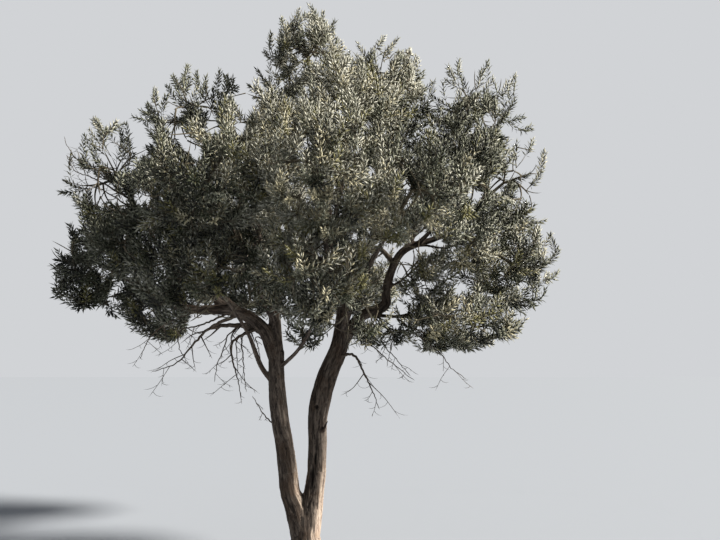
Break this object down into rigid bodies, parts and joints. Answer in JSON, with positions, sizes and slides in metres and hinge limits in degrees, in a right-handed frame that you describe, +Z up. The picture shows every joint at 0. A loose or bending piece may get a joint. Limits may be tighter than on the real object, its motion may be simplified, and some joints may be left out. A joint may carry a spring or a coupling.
{
  "type": "olive tree",
  "caption": "Mature olive tree with a low fork, upright stems, crooked spreading boughs and open masses of leafy twigs, with bare twigs drooping under the crown.",
  "frame": {"origin": "centre of the flat cut across the trunk at ground level", "axes": "+Z up the trunk, -Y towards the open front of the crown, +X to the right seen from the front"},
  "size_m": [4.1603, 3.414, 4.7817],
  "materials": {
    "bark": "rough",
    "bare_twigs": "rough",
    "foliage": "matt"
  },
  "bodies": {
    "root": {"trunk": "bark", "left_stem": "bark", "right_stem": "bark", "far_left_low_bough": "bark", "far_left_high_bough": "bark", "left_top_bough": "bark", "left_middle_bough": "bark", "left_hanging_bough": "bark", "crown_top_bough": "bark", "crown_left_bough": "bark", "crown_right_bough": "bark", "right_top_bough": "bark", "far_right_top_bough": "bark", "far_right_high_bough": "bark", "far_right_low_bough": "bark", "right_middle_bough": "bark", "right_hanging_bough": "bark", "front_left_bough": "bark", "front_middle_bough": "bark", "front_right_bough": "bark", "front_low_left_bough": "bark", "front_low_middle_bough": "bark", "front_low_right_bough": "bark", "back_left_bough": "bark", "back_low_left_bough": "bark", "back_top_bough": "bark", "back_middle_bough": "bark", "back_right_bough": "bark", "back_low_right_bough": "bark", "bare_twigs_left": "bare_twigs", "bare_twigs_near_stem": "bare_twigs", "bare_twigs_right": "bare_twigs", "far_left_low_foliage": "foliage", "far_left_high_foliage": "foliage", "left_top_foliage": "foliage", "left_middle_foliage": "foliage", "left_hanging_foliage": "foliage", "crown_top_foliage": "foliage", "crown_left_foliage": "foliage", "crown_right_foliage": "foliage", "right_top_foliage": "foliage", "far_right_top_foliage": "foliage", "far_right_high_foliage": "foliage", "far_right_low_foliage": "foliage", "right_middle_foliage": "foliage", "right_hanging_foliage": "foliage", "front_left_foliage": "foliage", "front_middle_foliage": "foliage", "front_right_foliage": "foliage", "front_low_left_foliage": "foliage", "front_low_middle_foliage": "foliage", "front_low_right_foliage": "foliage", "back_left_foliage": "foliage", "back_low_left_foliage": "foliage", "back_top_foliage": "foliage", "back_middle_foliage": "foliage", "back_right_foliage": "foliage", "back_low_right_foliage": "foliage"}
  },
  "joints": []
}
